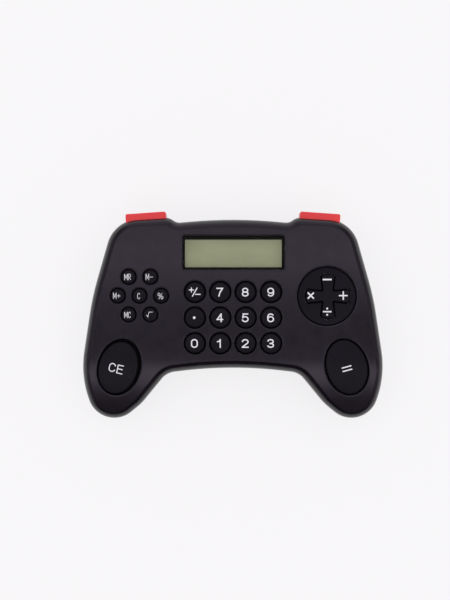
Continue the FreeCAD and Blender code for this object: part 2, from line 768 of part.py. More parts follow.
chip = turned("chip_blob", [(0.0, 13.9), (4.2, 15.0, 2.5, 14.2), (5.0, 15.6), (0.0, 15.6)])
placed(chip, "-2", "27")
capacitor_can = turned("capacitor_can", [
    (0.0, 0.0), (1.9, 0.0), (2.0, 0.3), (2.0, 4.8), (1.8, 5.0), (0.0, 5.0),
])
capacitor_can.Placement = Placement(Vector(-19.0, 20.0, 13.4), Rotation(Vector(1, 0, 0), -90))
capacitor_leads = [block(f"capacitor_lead_{i}", f"{x} - 0.2", "19.2", "13.2", f"{x} + 0.2", "20.1", "15.6")
                   for i, x in enumerate((-19.8, -18.2), 1)]
capacitor = fused("board_capacitor", [capacitor_can] + capacitor_leads)
resistors = group("board_resistors", [
    block(f"resistor_{i}", f"{x}", f"{y}", "15.05", f"{x} + 2", f"{y} + 1.2", "15.6")
    for i, (x, y) in enumerate(((10, 21), (14, 21), (18, 21), (10, 33), (14, 33)), 1)
])

HALF_MAT = [(0.0, -16.0, 60.0), (33.5, -17.0, 4.0), (41.5, -33.2, 3.0), (56.4, -33.2, 5.0),
            (57.6, -8.0, 30.0), (55.6, 21.0, 3.0), (34.0, 22.4, 5.0), (27.0, 16.6, 5.0), (0.0, 16.5, 300.0)]
mat_rough = rounded_body("mat_rough", mirrored(HALF_MAT), "$board_top", "$mat_top")
dome_places = [(x, y, 2.9) for x, y in NUMBER_KEYS.values()]
dome_places += [(x, y, 2.6) for x, y in MEMORY_KEYS.values()]
dome_places += [(f"{side} * $oval_x", "$oval_y", 4.6) for _, side in SIDES]
dome_places += [(f"$cross_x + 7.5 * {i}", f"$pad_y + 7.5 * {j}", 2.6)
                for i, j in ((1, 0), (0, 1), (-1, 0), (0, -1))]
domes, hollows, pills = [], [], []
for i, (x, y, foot) in enumerate(dome_places, 1):
    where = {"Placement__Base__x": x, "Placement__Base__y": y}
    domes.append(solid("Cone", f"dome_{i}", Radius1=str(foot), Radius2="1.9",
                       Height="$dome_top - $mat_top + 0.2", Placement__Base__z="$mat_top - 0.2", **where))
    hollows.append(solid("Cone", f"hollow_{i}", Radius1=str(foot - 0.35), Radius2="1.3",
                         Height="$dome_top - 0.5 - $board_top", Placement__Base__z="$board_top", **where))
    pills.append(post(f"pill_{i}", "1.1", x, y, "$mat_top + 0.2", "$dome_top - 0.3"))
mat_holes = [post(f"mat_screw_hole_{i}", "2.5", str(x), str(y), "$board_z", "$mat_top + 1")
             for i, (x, y) in enumerate(both_sides(BOARD_POSTS[1:]), 1)]
mat_holes += [post(f"mat_case_hole_{i}", "3.0", str(x), str(y), "$board_z", "$mat_top + 1")
              for i, (x, y) in enumerate(both_sides(CASE_POSTS[1:2]), 1)]
mat_holes.append(post("mat_pivot_hole", "1.8", "$cross_x", "$pad_y", "$board_z", "$mat_top + 1"))
mat_open = cut("mat_open", fused("mat_solid", [mat_rough] + domes), hollows + mat_holes)
keypad_mat = fused("keypad_mat", [mat_open] + pills)

# ------------------------------------------------------------------ shoulder buttons and their switches

shoulder_parts = []
reach = size("shoulder_reach")
half = size("shoulder_long") / 2
for word, side in SIDES:
    button = new_body(word + "_shoulder_button")
    front = sketch_on(button, "XY_Plane", word + "_button_front", "$shoulder_z")
    rounded_loop(front, [
        (-half, -3.45, "0.3"), (half, -3.45, "0.3"), (half, reach, "0.8"), (-half, reach, "0.8"),
    ])
    block_feature = pad(button, front, word + "_button_block", "$shoulder_top - $shoulder_z")
    round_over(button, block_feature, word + "_button_round", "0.5",
               lambda e: e.BoundBox.ZLength < 0.01 and e.CenterOfMass.y > -3.3)
    flange_path = [(half + 0.8, -4.9), (half + 0.8, -3.75), (6.3, -2.65), (3.0, -2.25), (-half - 0.1, -2.25),
                   (-half - 0.9, -2.9), (-half - 0.9, -3.5), (3.0, -3.6)]
    if side < 0:
        flange_path = [(-x, y) for x, y in reversed(flange_path)]
    for part, path, z, z2 in (
        ("flange", flange_path, "$shoulder_z - 0.9", "$shoulder_top - 2"),
        ("stem", rectangle(-1.6, -6.0, 1.6, -3.3), "11.4", "14.2"),
    ):
        sketch = sketch_on(button, "XY_Plane", f"{word}_button_{part}", z)
        draw(sketch, path)
        pad(button, sketch, f"{word}_button_{part}_pad", f"({z2}) - ({z})")
    plunger = stack(word + "_plunger", [(rectangle(-1.0, -9.4, 1.0, -6.0), "12.0", "13.4")])
    case = stack(word + "_switch_case", [(rectangle(-3.6, -12.0, 3.6, -7.4), "10.2", "$board_z")])
    room = stack(word + "_switch_room", [(rectangle(-1.1, -10.6, 1.1, -7.0), "11.9", "13.5")])
    switch = cut(word + "_switch", on_shoulder(case, side), [on_shoulder(room, side)])
    shoulder_parts += [on_shoulder(button, side), on_shoulder(plunger, side), switch]

# ------------------------------------------------------------------ battery and contacts

cell = turned("battery_cell", [
    (0.0, -20.2), (3.2, -20.2), (3.2, -20.0), (5.1, -20.0), (5.1, 23.1), (1.9, 23.1), (1.9, 24.2), (0.0, 24.2),
])
jacket = turned("battery_jacket", [
    (5.1, -19.6), (5.25, -19.6), (5.25, 22.8), (5.1, 22.8),
])
spring_plate = block("spring_plate", "-26", "$cell_y - 4", "4.4", "-25.7", "$cell_y + 4", "12.4")
spring_tab = block("spring_tab", "-26", "$cell_y - 2.2", "12", "-25.7", "$cell_y + 2.2", "$board_z")
contact_plate = block("contact_plate", "24.2", "$cell_y - 4", "4.4", "24.5", "$cell_y + 4", "12.4")
contact_tab = block("contact_tab", "24.2", "$cell_y - 2.2", "12", "24.5", "$cell_y + 2.2", "$board_z")
for thing in (cell, jacket):
    bind(thing, Placement__Base__y="$cell_y", Placement__Base__z="$cell_z", Placement__Rotation__Angle="90")
    thing.Placement = Placement(thing.Placement.Base, Rotation(Vector(0, 1, 0), 90))
helix = doc.addObject("Part::Helix", "spring_line")
helix.Pitch = 1.45
helix.Height = 5.0
helix.Radius = 3.4
helix.Angle = -12.0
wire = doc.addObject("Part::Circle", "spring_wire")
wire.Radius = 0.3
wire.Placement = Placement(Vector(3.4, 0, 0), Rotation(Vector(1, 0, 0), 90))
coil = doc.addObject("Part::Sweep", "spring_coil")
coil.Sections = [wire]
coil.Spine = (helix, [])
coil.Solid = True
coil.Frenet = True
coil.Placement = Placement(Vector(-25.6, size("cell_y"), size("cell_z")), Rotation(Vector(0, 1, 0), 90))
bind(coil, Placement__Base__y="$cell_y", Placement__Base__z="$cell_z")
positive = fused("positive_contact", [contact_plate, contact_tab])
negative = fused("battery_spring", [spring_plate, spring_tab, coil])

# ------------------------------------------------------------------ battery door, feet and screws

door_plate = block("door_plate", "-$door_long / 2", "$cell_y - $door_wide / 2", "$base_z",
                   "$door_long / 2", "$cell_y + $door_wide / 2", "$base_z + $door_thick")
tongues = [block(f"door_tongue_{i}", "-$door_long / 2 - 1.4", f"{y} - 1.5", "$base_z + 0.8",
                 "-$door_long / 2 + 1", f"{y} + 1.5", "$base_z + $door_thick")
           for i, y in enumerate(DOOR_TONGUES, 1)]
grooves = [block(f"door_groove_{i}", f"{19 + 1.6 * i}", "$cell_y - 4", "-1", f"{19.8 + 1.6 * i}", "$cell_y + 4",
                 "$base_z + 0.4") for i in range(1, 5)]
door = cut("battery_door", fused("door_solid", [door_plate] + tongues), grooves)

FOOT_PROFILE = [(0.0, 0.0), (2.9, 0.0), (3.45, 0.5, 3.3, 0.15), (3.45, 1.1), (0.0, 1.1)]
feet = group("rubber_feet", [
    placed(turned(f"foot_{i}", FOOT_PROFILE), str(x), str(y)) for i, (x, y) in enumerate(both_sides(FEET), 1)
])


def screw(name, head, deep, shank, length):
    """A pan-head screw that points up from its seat, with a cross recess in its head."""
    blank = turned(name + "_blank", [
        (0.0, -deep), (head - 0.5, -deep), (head, -deep + 0.5, head - 0.15, -deep + 0.15), (head, 0.0),
        (shank, 0.0), (shank, length - 0.8), (0.3, length), (0.0, length),
    ])
    recess = [block(f"{name}_slot_{i}", f"-{a}", f"-{b}", f"-{deep} - 1", str(a), str(b), f"-{deep} + 0.7")
              for i, (a, b) in enumerate(((head * 0.6, 0.25), (0.25, head * 0.6)), 1)]
    return cut(name + "_cut", blank, recess)


def screws(name, head, deep, shank, length, places, z):
    pattern = screw(name + "_pattern", head, deep, shank, length)
    copies = []
    for i, (x, y) in enumerate(places, 1):
        link = doc.addObject("App::Link", f"{name}_{i}")
        link.LinkedObject = pattern
        link.LinkTransform = True
        placed(link, str(x), str(y), z)
        copies.append(link)
    return group(name, copies)


case_screws = screws("case_screws", 1.9, 1.7, 0.85, 8.5, both_sides(CASE_POSTS), "$case_seat")
board_screws = screws("board_screws", 1.5, 1.0, 0.65, 4.2, both_sides(BOARD_POSTS), "$board_z")

# ------------------------------------------------------------------ everything, and its check

nodes = [upper_shell(), lower_shell(), door, feet, case_screws, board_screws, main_board, chip, capacitor]
nodes += [resistors, keypad_mat, cell, jacket, negative, positive, window, glass, reflector, lcd_frame, zebra]
nodes += [dpad_plate, dpad_post, pivot, dpad_cross] + shoulder_parts + keys
doc.recompute()
for thing in doc.Objects:
    if {"Invalid", "Error"} & set(thing.State):
        raise RuntimeError(f"{thing.Name} is {thing.State}")
os.makedirs("parts", exist_ok=True)
for thing in nodes:
    if thing.Shape.isNull() or not thing.Shape.isValid():
        raise RuntimeError(f"{thing.Name} has a bad shape")
    thing.Label = thing.Name
    thing.Shape.exportStep(f"parts/{thing.Name}.step")
print(len(nodes), "nodes")
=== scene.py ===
import json
import math

import bmesh
import bpy
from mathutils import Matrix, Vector
from mathutils.bvhtree import BVHTree
from mathutils.geometry import delaunay_2d_cdt

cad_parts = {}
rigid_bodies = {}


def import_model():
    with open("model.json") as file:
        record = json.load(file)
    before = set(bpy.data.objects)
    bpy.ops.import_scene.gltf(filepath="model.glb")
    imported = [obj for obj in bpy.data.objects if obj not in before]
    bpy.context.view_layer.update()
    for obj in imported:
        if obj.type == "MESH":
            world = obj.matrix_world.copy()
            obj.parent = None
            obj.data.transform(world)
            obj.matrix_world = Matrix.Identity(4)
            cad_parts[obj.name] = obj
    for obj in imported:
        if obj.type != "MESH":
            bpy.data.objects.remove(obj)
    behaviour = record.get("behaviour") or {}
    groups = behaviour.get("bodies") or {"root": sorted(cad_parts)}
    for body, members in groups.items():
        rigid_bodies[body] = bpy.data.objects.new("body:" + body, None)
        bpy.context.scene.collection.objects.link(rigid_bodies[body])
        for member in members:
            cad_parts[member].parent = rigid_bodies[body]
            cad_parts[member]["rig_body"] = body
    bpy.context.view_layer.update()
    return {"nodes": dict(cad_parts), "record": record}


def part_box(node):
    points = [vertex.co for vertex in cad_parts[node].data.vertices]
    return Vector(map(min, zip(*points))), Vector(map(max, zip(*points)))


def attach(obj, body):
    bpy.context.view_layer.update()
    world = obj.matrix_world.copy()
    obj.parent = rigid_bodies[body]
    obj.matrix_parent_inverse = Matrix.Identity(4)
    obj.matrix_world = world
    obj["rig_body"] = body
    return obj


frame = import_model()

MM = 0.001


# ------------------------------------------------------------------ materials

class Look:
    """A material with a Principled shader, and short ways to add procedural detail to it.

    Lengths in the texture calls are in metres: size is the width of one spot of the pattern.
    """

    def __init__(self, name, color, roughness, **sockets):
        self.material = bpy.data.materials.new(name)
        self.material.use_nodes = True
        self.tree = self.material.node_tree
        self.shader = self.tree.nodes["Principled BSDF"]
        self.place = self.tree.nodes.new("ShaderNodeTexCoord").outputs["Object"]
        self.shader.inputs["Base Color"].default_value = (*color, 1.0)
        self.shader.inputs["Roughness"].default_value = roughness
        for socket, value in sockets.items():
            self.shader.inputs[socket.replace("_", " ")].default_value = value

    def node(self, kind, values=(), **settings):
        made = self.tree.nodes.new(kind)
        for key, value in settings.items():
            setattr(made, key, value)
        for key, value in dict(values).items():
            if isinstance(value, bpy.types.NodeSocket):
                self.tree.links.new(value, made.inputs[key])
            else:
                made.inputs[key].default_value = value
        return made

    def noise(self, size, detail=3.0, rough=0.55, place=None):
        values = {"Vector": place or self.place, "Scale": 1.0 / size, "Detail": detail, "Roughness": rough}
        return self.node("ShaderNodeTexNoise", values).outputs["Fac"]

    def cells(self, size, feature="F1"):
        values = {"Vector": self.place, "Scale": 1.0 / size}
        return self.node("ShaderNodeTexVoronoi", values, feature=feature).outputs["Distance"]

    def stretched(self, x=1.0, y=1.0, z=1.0):
        made = self.node("ShaderNodeMapping", {"Vector": self.place})
        made.inputs["Scale"].default_value = (x, y, z)
        return made.outputs["Vector"]

    def span(self, fac, low, high, at=(0.35, 0.65)):
        values = {"Value": fac, "From Min": at[0], "From Max": at[1], "To Min": low, "To Max": high}
        return self.node("ShaderNodeMapRange", values).outputs["Result"]

    def math(self, operation, a, b=0.0):
        return self.node("ShaderNodeMath", {0: a, 1: b}, operation=operation).outputs[0]

    def mix(self, fac, a, b):
        made = self.node("ShaderNodeMix", data_type="RGBA")
        for key, value in ((0, fac), (6, a), (7, b)):
            if isinstance(value, bpy.types.NodeSocket):
                self.tree.links.new(value, made.inputs[key])
            elif key:
                made.inputs[key].default_value = (*value, 1.0)
            else:
                made.inputs[key].default_value = value
        return made.outputs[2]

    def color(self, socket):
        self.tree.links.new(socket, self.shader.inputs["Base Color"])

    def roughness(self, socket):
        self.tree.links.new(socket, self.shader.inputs["Roughness"])

    def bump(self, height, depth, strength=1.0):
        made = self.node("ShaderNodeBump", {"Height": height, "Distance": depth, "Strength": strength})
        previous = self.shader.inputs["Normal"].links
        if previous:
            self.tree.links.new(previous[0].from_socket, made.inputs["Normal"])
        self.tree.links.new(made.outputs["Normal"], self.shader.inputs["Normal"])

    def soften_edges(self, radius):
        """Shades sharp edges as if they had a small radius, under the bumps that are there already."""
        soft = self.node("ShaderNodeBevel", {"Radius": radius}, samples=6).outputs["Normal"]
        first = self.shader.inputs["Normal"].links[0].from_node
        while first.inputs["Normal"].links:
            first = first.inputs["Normal"].links[0].from_node
        self.tree.links.new(soft, first.inputs["Normal"])


def moulded(name, color, roughness, grain, depth, spread=0.16, dust=0.0, **sockets):
    """Moulded plastic: a spark-eroded grain, slow drift of shade and shine, and fine rubbed marks."""
    look = Look(name, color, roughness, **sockets)
    drift = look.noise(22 * MM, 4)
    rub = look.noise(1.1 * MM, 5, 0.7, look.stretched(1.0, 3.5, 1.0))
    darker, lighter = ([c * (1 + side * spread) for c in color] for side in (-1, 1))
    rubbed = [min(1.0, c * 1.5 + 0.002) for c in color]
    shade = look.mix(look.span(drift, 0.0, 1.0), darker, lighter)
    shade = look.mix(look.span(rub, 0.0, 0.22, (0.5, 0.8)), shade, rubbed)
    if dust:
        speck = look.span(look.cells(5.5 * MM), 1.0, 0.0, (0.010, 0.022))
        shade = look.mix(look.math("MULTIPLY", speck, dust), shade, (0.45, 0.44, 0.44))
    look.color(shade)
    look.roughness(look.span(look.noise(6 * MM, 6, 0.65), roughness * 0.88, roughness * 1.15, (0.3, 0.7)))
    look.bump(look.noise(grain, 2, 0.6), depth)
    look.bump(look.cells(grain * 1.7, "SMOOTH_F1"), depth * 0.6, 0.6)
    return look


def metal(name, color, roughness, streak=0.25 * MM):
    """Drawn or rolled metal with fine streaks and faint stains."""
    look = Look(name, color, roughness, Metallic=1.0)
    line = look.noise(streak, 3, 0.6, look.stretched(1.0, 12.0, 1.0))
    stain = look.noise(2.5 * MM, 4)
    look.color(look.mix(look.span(stain, 0.0, 1.0), [c * 0.82 for c in color], color))
    look.roughness(look.span(line, roughness - 0.08, roughness + 0.12, (0.3, 0.7)))
    look.bump(line, 0.006 * MM, 0.5)
    return look


def rubbery(name, color, roughness):
    """Moulded rubber: a dull skin with a faint bloom."""
    look = Look(name, color, roughness)
    bloom = look.noise(3 * MM, 5)
    look.color(look.mix(look.span(bloom, 0.0, 1.0), [c * 0.85 for c in color], [c * 1.2 for c in color]))
    look.roughness(look.span(look.noise(0.8 * MM, 4), roughness - 0.06, roughness + 0.05))
    look.bump(look.noise(0.12 * MM, 3), 0.008 * MM)
    return look


CASE = moulded("case_plastic", (0.0030, 0.0018, 0.0040), 0.14, 0.20 * MM, 0.0010 * MM)
CASE.soften_edges(0.8 * MM)
KEY = moulded("key_plastic", (0.0083, 0.0070, 0.0103), 0.20, 0.12 * MM, 0.0012 * MM, 0.12, dust=0.55,
              Specular_IOR_Level=0.09)
# Painted shade: the walls and flanges of the keys, the rounded edges of the D-pad's arms and the walls of
# the case's holes get this darker, duller plastic, so that the gaps round them read as shadowed.
SHADED_WALL = moulded("painted_shade_wall", (0.0016, 0.0013, 0.0019), 0.60, 0.10 * MM, 0.006 * MM,
               Specular_IOR_Level=0.10)
RED = moulded("red_plastic", (0.82, 0.039, 0.044), 0.34, 0.20 * MM, 0.006 * MM, 0.07)
# Painted highlight: the small rounded rims round the case's holes and window get this much lighter plastic,
# drawn as thin highlight lines.
RIM_HIGHLIGHT = moulded("painted_highlight_rim", (0.034, 0.030, 0.039), 0.26, 0.12 * MM, 0.002 * MM)
INNER = moulded("inner_plastic", (0.055, 0.055, 0.060), 0.5, 0.18 * MM, 0.01 * MM)
STEEL = metal("zinc_steel", (0.45, 0.45, 0.46), 0.34)
NICKEL = metal("nickel_steel", (0.66, 0.64, 0.60), 0.26)
FOOT = rubbery("foot_rubber", (0.030, 0.030, 0.032), 0.75)
SILICONE = rubbery("silicone", (0.33, 0.34, 0.36), 0.55)


def ink(name, color, **sockets):
    """Screen-printed ink: an even, slightly raised film with a soft edge to its shine."""
    look = Look(name, color, 0.5, **sockets)
    film = look.noise(0.35 * MM, 4)
    look.color(look.mix(look.span(film, 0.0, 1.0), [c * 0.93 for c in color], color))
    look.roughness(look.span(look.noise(0.9 * MM), 0.42, 0.58))
    look.bump(film, 0.004 * MM)
    return look


WHITE_INK = ink("white_ink", (0.86, 0.86, 0.90))
BLACK_INK = ink("black_ink", (0.0028, 0.0024, 0.0032), Specular_IOR_Level=0.04)


def display_glass():
    """The liquid crystal cell, lit by its own backing: a grey-green field with a faint mottle."""
    color = (0.530, 0.557, 0.345)
    look = Look("lcd_cell", color, 0.35, Specular_IOR_Level=0.2)
    cloud = look.noise(9 * MM, 4)
    weave = look.noise(0.5 * MM, 2)
    shade = look.mix(look.span(cloud, 0.0, 1.0), [c * 0.95 for c in color], [c * 1.04 for c in color])
    look.color(look.mix(look.span(weave, 0.0, 0.10), shade, [c * 0.82 for c in color]))
    look.roughness(look.span(look.noise(2 * MM), 0.30, 0.42))
    look.bump(weave, 0.003 * MM)
    return look


LCD = display_glass()


def clear_window():
    """Clear acrylic: mostly see-through, with polish marks in its shine."""
    look = Look("clear_window", (0.03, 0.03, 0.03), 0.06, Alpha=0.12, IOR=1.49, Specular_IOR_Level=0.10)
    mark = look.noise(0.7 * MM, 5, 0.7, look.stretched(1.0, 6.0, 1.0))
    look.color(look.mix(look.span(mark, 0.0, 1.0), (0.02, 0.02, 0.02), (0.05, 0.05, 0.045)))
    look.roughness(look.span(mark, 0.04, 0.13))
    return look


def circuit_board():
    """Green solder mask over copper tracks, with the glass weave just showing."""
    look = Look("circuit_board", (0.02, 0.14, 0.05), 0.32)
    track = look.node("ShaderNodeTexBrick", {
        "Vector": look.place, "Scale": 1.0, "Mortar Size": 0.00022, "Mortar Smooth": 0.1,
        "Brick Width": 0.0062, "Row Height": 0.0014,
    }).outputs["Fac"]
    weave = look.cells(0.55 * MM)
    shade = look.mix(look.span(track, 0.0, 1.0, (0.2, 0.8)), (0.014, 0.115, 0.040), (0.045, 0.235, 0.085))
    look.color(look.mix(look.span(weave, 0.0, 0.12), shade, (0.006, 0.06, 0.02)))
    look.roughness(look.span(look.noise(1.5 * MM), 0.26, 0.40))
    look.bump(track, 0.03 * MM)
    return look


def striped(name, first, second, pitch, axis=0, roughness=0.5):
    """Fine stripes across one axis, as in a zebra connector or a printed sleeve."""
    look = Look(name, first, roughness)
    parts = look.node("ShaderNodeSeparateXYZ", {"Vector": look.place})
    wave = look.math("SINE", look.math("MULTIPLY", parts.outputs[axis], 2 * math.pi / pitch))
    look.color(look.mix(look.span(wave, 0.0, 1.0, (-0.2, 0.2)), first, second))
    look.roughness(look.span(look.noise(1 * MM), roughness - 0.06, roughness + 0.06))
    look.bump(wave, 0.01 * MM, 0.4)
    return look


def cell_sleeve():
    """A shrink sleeve with two bands of color, unlettered."""
    look = Look("cell_sleeve", (0.05, 0.15, 0.36), 0.28, Coat_Weight=0.4)
    along = look.node("ShaderNodeSeparateXYZ", {"Vector": look.place}).outputs[0]
    band = look.span(along, 0.0, 1.0, (0.0102, 0.0104))
    wear = look.noise(1.5 * MM, 5)
    shade = look.mix(band, (0.035, 0.12, 0.32), (0.62, 0.60, 0.56))
    look.color(look.mix(look.span(wear, 0.0, 0.25, (0.55, 0.75)), shade, (0.30, 0.32, 0.36)))
    look.roughness(look.span(look.noise(2 * MM), 0.22, 0.36))
    look.bump(look.noise(1.2 * MM, 3), 0.01 * MM, 0.4)
    return look


ZEBRA = striped("zebra_rubber", (0.02, 0.02, 0.022), (0.42, 0.42, 0.40), 0.35 * MM, roughness=0.6)
SLEEVE = cell_sleeve()
BOARD = circuit_board()
WINDOW = clear_window()
EPOXY = moulded("epoxy_blob", (0.008, 0.008, 0.009), 0.22, 0.6 * MM, 0.02 * MM, 0.2)
PARTS = moulded("component_body", (0.02, 0.022, 0.05), 0.36, 0.2 * MM, 0.006 * MM)
FILM = metal("reflector_film", (0.70, 0.72, 0.66), 0.3, 0.12 * MM)

LOOKS = {
    "case_plastic": CASE,
    "key_plastic": KEY,
    "red_plastic": RED,
    "inner_plastic": INNER,
    "clear_window": WINDOW,
    "lcd_cell": LCD,
    "reflector_film": FILM,
    "silicone": SILICONE,
    "contact_rubber": ZEBRA,
    "foot_rubber": FOOT,
    "circuit_board": BOARD,
    "epoxy": EPOXY,
    "component_body": PARTS,
    "screw_steel": STEEL,
    "spring_steel": NICKEL,
    "cell_sleeve": SLEEVE,
}

# Where the painted shade and the painted highlight go: heights over the table, and the upward part of a
# face's normal.
FLANGES_BELOW = 20.3 * MM
HOLES_ABOVE = 18.8 * MM
WALL_UPWARD = 0.3
ARM_TOP_UPWARD = 0.93
RIM_UPWARD = 0.92
RIM_DEPTH = 0.35 * MM

# The case's face is flat at one level as far as a line across the case, then falls away as a wide cylinder.
FACE_LEVEL = 22.0 * MM
FALL_FROM = -19.0 * MM
FALL_RADIUS = 160.0 * MM

# The parts that the face has a hole for, and the size of a hole's rim against its part.
HOLE_BOXES = [
    (name, *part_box(name)) for name in frame["nodes"]
    if name.startswith("key_") or name in ("dpad_plate", "lcd_window")
]
RIM_OVER_PART = 1.06


def depth_below_face(place):
    """How far a point lies under the case's face."""
    run = max(0.0, FALL_FROM - place.y)
    return FACE_LEVEL - FALL_RADIUS + math.sqrt(FALL_RADIUS ** 2 - run ** 2) - place.z


def in_face_hole(place):
    """Whether a point lies over one of the face's holes: round or oval for keys, square for the window."""
    for name, low, high in HOLE_BOXES:
        across, along = (abs(2 * place[i] - low[i] - high[i]) / (high[i] - low[i]) for i in (0, 1))
        reach = max(across, along) if name == "lcd_window" else math.hypot(across, along)
        if reach < RIM_OVER_PART:
            return True
    return False


def finish_of(node, look, face):
    """0 for the part's own look, 1 for the walls of keys and holes, darker and duller as painted shade, 2
    for the rims of the holes, lighter as a painted highlight.
    """
    upward, middle = face.normal.z, face.center
    wall = abs(upward) < WALL_UPWARD
    if look is KEY:
        # The rounded edges of the D-pad's arms get the painted shade too, which takes the glints off them.
        arm_edge = node == "dpad_cross" and abs(upward) < ARM_TOP_UPWARD
        return 1 if wall or arm_edge or middle.z < FLANGES_BELOW else 0
    if node != "upper_shell" or middle.z < HOLES_ABOVE:
        return 0
    if wall:
        return 1
    # The small rounded rims round the holes get the painted highlight.
    return 2 if upward < RIM_UPWARD and depth_below_face(middle) < RIM_DEPTH and in_face_hole(middle) else 0


for part in frame["record"]["subparts"]:
    thing = frame["nodes"][part["node"]]
    look = KEY if part["node"] == "dpad_plate" else LOOKS[part["material_slot"]]
    thing.data.materials.clear()
    slot_looks = (look, SHADED_WALL, RIM_HIGHLIGHT) if part["material_slot"] in ("case_plastic", "key_plastic") else (look,)
    for slot_look in slot_looks:
        thing.data.materials.append(slot_look.material)
    for face in thing.data.polygons:
        face.material_index = finish_of(part["node"], look, face)


# ------------------------------------------------------------------ printed legends

def centre(node):
    low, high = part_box(node)
    return (Vector(low) + Vector(high)) / 2


def surface_of(node):
    data = frame["nodes"][node].data
    return BVHTree.FromPolygons([v.co for v in data.vertices], [p.vertices for p in data.polygons])


# Heights of a print's two skins over the surface it is on, and a height that is over everything.
INK_TOP = 0.042 * MM
INK_ROOT = -0.02 * MM
OVERHEAD = 1.0


# What the triangulation is asked for: triangles inside the outlines only, with points this near made one.
INSIDE_ONLY = 1
SAME_POINT = 1e-5


def flat_union(hub, outlines):
    """One flat mesh that covers every outline, which are in mm about hub."""
    points, faces = [], []
    for outline in outlines:
        faces.append(list(range(len(points), len(points) + len(outline))))
        points += [Vector(point) for point in outline]
    joined, _, triangles, _, _, origins = delaunay_2d_cdt(points, [], faces, INSIDE_ONLY, SAME_POINT)
    mesh = bmesh.new()
    corners = [mesh.verts.new((hub.x + point.x * MM, hub.y + point.y * MM, 0.0)) for point in joined]
    for triangle, outlines_over in zip(triangles, origins):
        if outlines_over:
            mesh.faces.new([corners[k] for k in triangle])
    loose = [vertex for vertex in mesh.verts if not vertex.link_faces]
    bmesh.ops.delete(mesh, geom=loose, context="VERTS")
    return mesh


def print_on(name, node, hub, outlines, look=WHITE_INK):
    """Outlines in mm about hub, laid on top of a node as one thin film of ink."""
    mesh = flat_union(hub, outlines)
    for face in mesh.faces:
        face.normal_update()
        if face.normal.z < 0:
            face.normal_flip()
    grown = bmesh.ops.extrude_face_region(mesh, geom=list(mesh.faces))
    lifted = {v for v in grown["geom"] if isinstance(v, bmesh.types.BMVert)}
    tree = surface_of(node)
    for vertex in mesh.verts:
        hit = tree.ray_cast(Vector((vertex.co.x, vertex.co.y, OVERHEAD)), Vector((0, 0, -1)))[0]
        vertex.co.z = hit.z + (INK_TOP if vertex in lifted else INK_ROOT)
    bmesh.ops.recalc_face_normals(mesh, faces=mesh.faces)
    data = bpy.data.meshes.new(name)
    mesh.to_mesh(data)
    mesh.free()
    data.materials.append(look.material)
    piece = bpy.data.objects.new(name, data)
    bpy.context.scene.collection.objects.link(piece)
    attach(piece, frame["nodes"][node]["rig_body"])


# Degrees of an arc to one of its sides, sides of a dot, and the limit that keeps a stroke's corners short.
ARC_STEP = 12
DISC_SIDES = 24
CORNER_LIMIT = 0.35


def arc(x, y, wide, high, start, end):
    """Points on an ellipse's arc, from one angle to another in degrees."""
    count = max(3, round(abs(end - start) / ARC_STEP))
    angles = [math.radians(start + (end - start) * i / count) for i in range(count + 1)]
    return [(x + wide * math.cos(a), y + high * math.sin(a)) for a in angles]


def ring(x, y, wide, high):
    """An ellipse as its right half and its left half."""
    return [arc(x, y, wide, high, -90, 90), arc(x, y, wide, high, 90, 270)]


def ribbon(path, width):
    """The outline of a stroke of one width along a path, with square ends half a width past it."""
    line = [Vector(point) for point in path]
    line = [p for i, p in enumerate(line) if not i or (p - line[i - 1]).length > SAME_POINT]
    line[0] = line[0] + (line[0] - line[1]).normalized() * width / 2
    line[-1] = line[-1] + (line[-1] - line[-2]).normalized() * width / 2
    sides = ([], [])
    for i, point in enumerate(line):
        before = (point - line[i - 1]).normalized() if i else (line[1] - point).normalized()
        after = (line[i + 1] - point).normalized() if i + 1 < len(line) else before
        along = (before + after).normalized()
        across = Vector((-along.y, along.x)) * (width / 2 / max(CORNER_LIMIT, along.dot(after)))
        sides[0].append(point + across)
        sides[1].append(point - across)
    return [tuple(p) for p in sides[1] + sides[0][::-1]]


